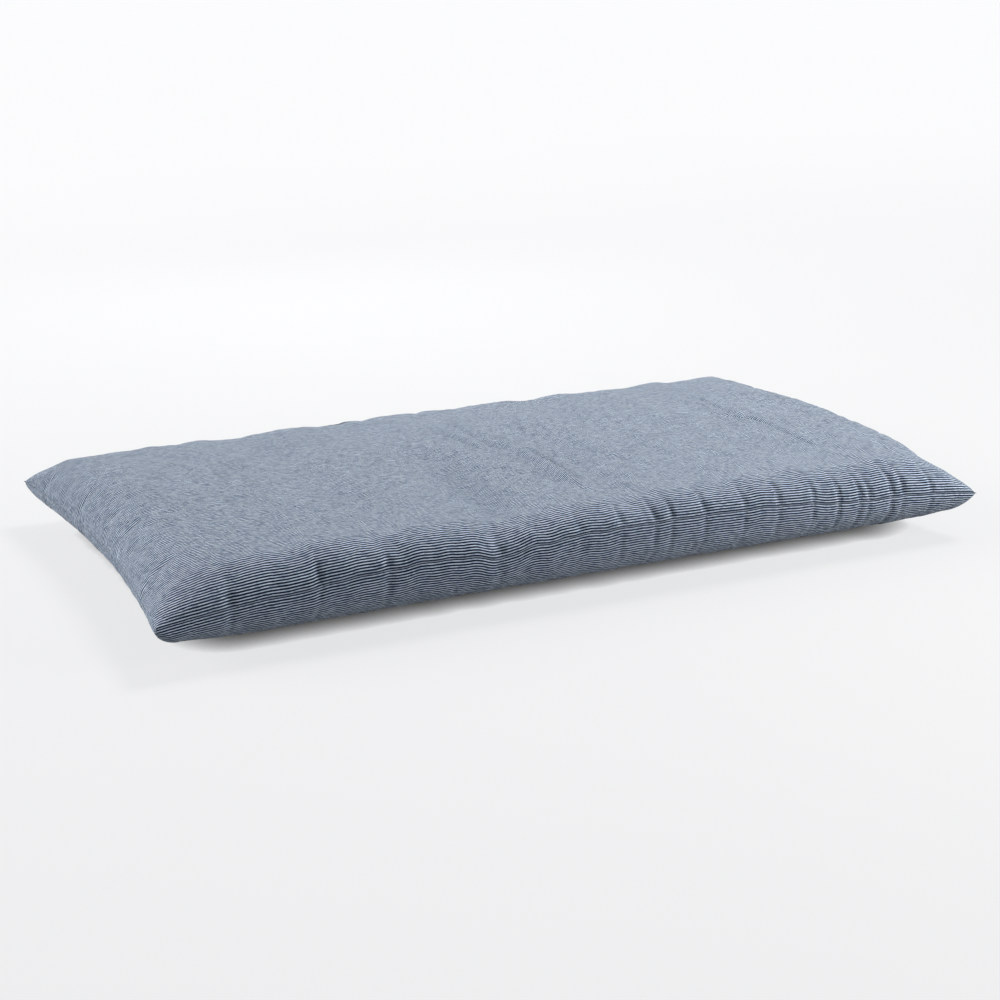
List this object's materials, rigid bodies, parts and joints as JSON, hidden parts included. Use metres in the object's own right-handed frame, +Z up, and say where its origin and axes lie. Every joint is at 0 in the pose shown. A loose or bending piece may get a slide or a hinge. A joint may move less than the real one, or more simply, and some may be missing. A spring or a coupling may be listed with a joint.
{
  "type": "futon mattress",
  "caption": "Low single futon mattress with pointed knife-edge corners, pinstripe ticking cover with a zip, and layered cotton and foam filling, folding in half.",
  "frame": {"origin": "centre of the footprint, on the surface that the mattress lies on", "axes": "+X along the length towards the foot end with the zip, +Y across the width, +Z up"},
  "size_m": [1.9, 1.03, 0.195],
  "materials": {
    "ticking": "matte",
    "sewing_thread": "matte",
    "cotton_casing": "matte",
    "cotton_wadding": "matte",
    "foam": "matte",
    "felt": "matte",
    "twine": "matte",
    "zip_tape": "matte",
    "zip_coil": "satin",
    "zip_metal": "satin",
    "label": "satin"
  },
  "bodies": {
    "foot_half": {"care_label": "label", "cover_bottom_foot": "ticking", "cover_top_foot": "ticking", "edge_thread_foot": "sewing_thread", "inner_casing_bottom_foot": "cotton_casing", "inner_casing_top_foot": "cotton_casing", "lower_cotton_wadding_foot": "cotton_wadding", "lower_foam_sheet_foot": "foam", "middle_cotton_wadding_foot": "cotton_wadding", "sewn_edge_foot": "ticking", "tuft_pads_foot": "felt", "tuft_ties_foot": "twine", "upper_cotton_wadding_foot": "cotton_wadding", "upper_foam_sheet_foot": "foam", "zip_bottom_stop": "zip_metal", "zip_coil_lower": "zip_coil", "zip_coil_upper": "zip_coil", "zip_stitching": "sewing_thread", "zip_tape_lower": "zip_tape", "zip_tape_upper": "zip_tape", "zip_top_stops": "zip_metal"},
    "head_half": {"cover_bottom_head": "ticking", "cover_top_head": "ticking", "edge_thread_head": "sewing_thread", "inner_casing_bottom_head": "cotton_casing", "inner_casing_top_head": "cotton_casing", "lower_cotton_wadding_head": "cotton_wadding", "lower_foam_sheet_head": "foam", "middle_cotton_wadding_head": "cotton_wadding", "sewn_edge_head": "ticking", "tuft_pads_head": "felt", "tuft_ties_head": "twine", "upper_cotton_wadding_head": "cotton_wadding", "upper_foam_sheet_head": "foam"},
    "zip_slider_body": {"zip_slider": "zip_metal"},
    "pull_tab_body": {"zip_pull_tab": "zip_metal"}
  },
  "joints": [
    {"name": "mattress_fold", "type": "hinge", "parent": "foot_half", "child": "head_half", "pos_m": [0, 0, 0.1955], "axis": [0, 1, 0], "range_deg": [0, 180]},
    {"name": "zip_slide", "type": "slide", "parent": "foot_half", "child": "zip_slider_body", "axis": [0, -1, 0], "range_m": [0, 0.7314]},
    {"name": "pull_swing", "type": "hinge", "parent": "zip_slider_body", "child": "pull_tab_body", "pos_m": [0.9291, 0.3657, 0.094], "axis": [0, 0, 1], "range_deg": [0, 180]}
  ]
}
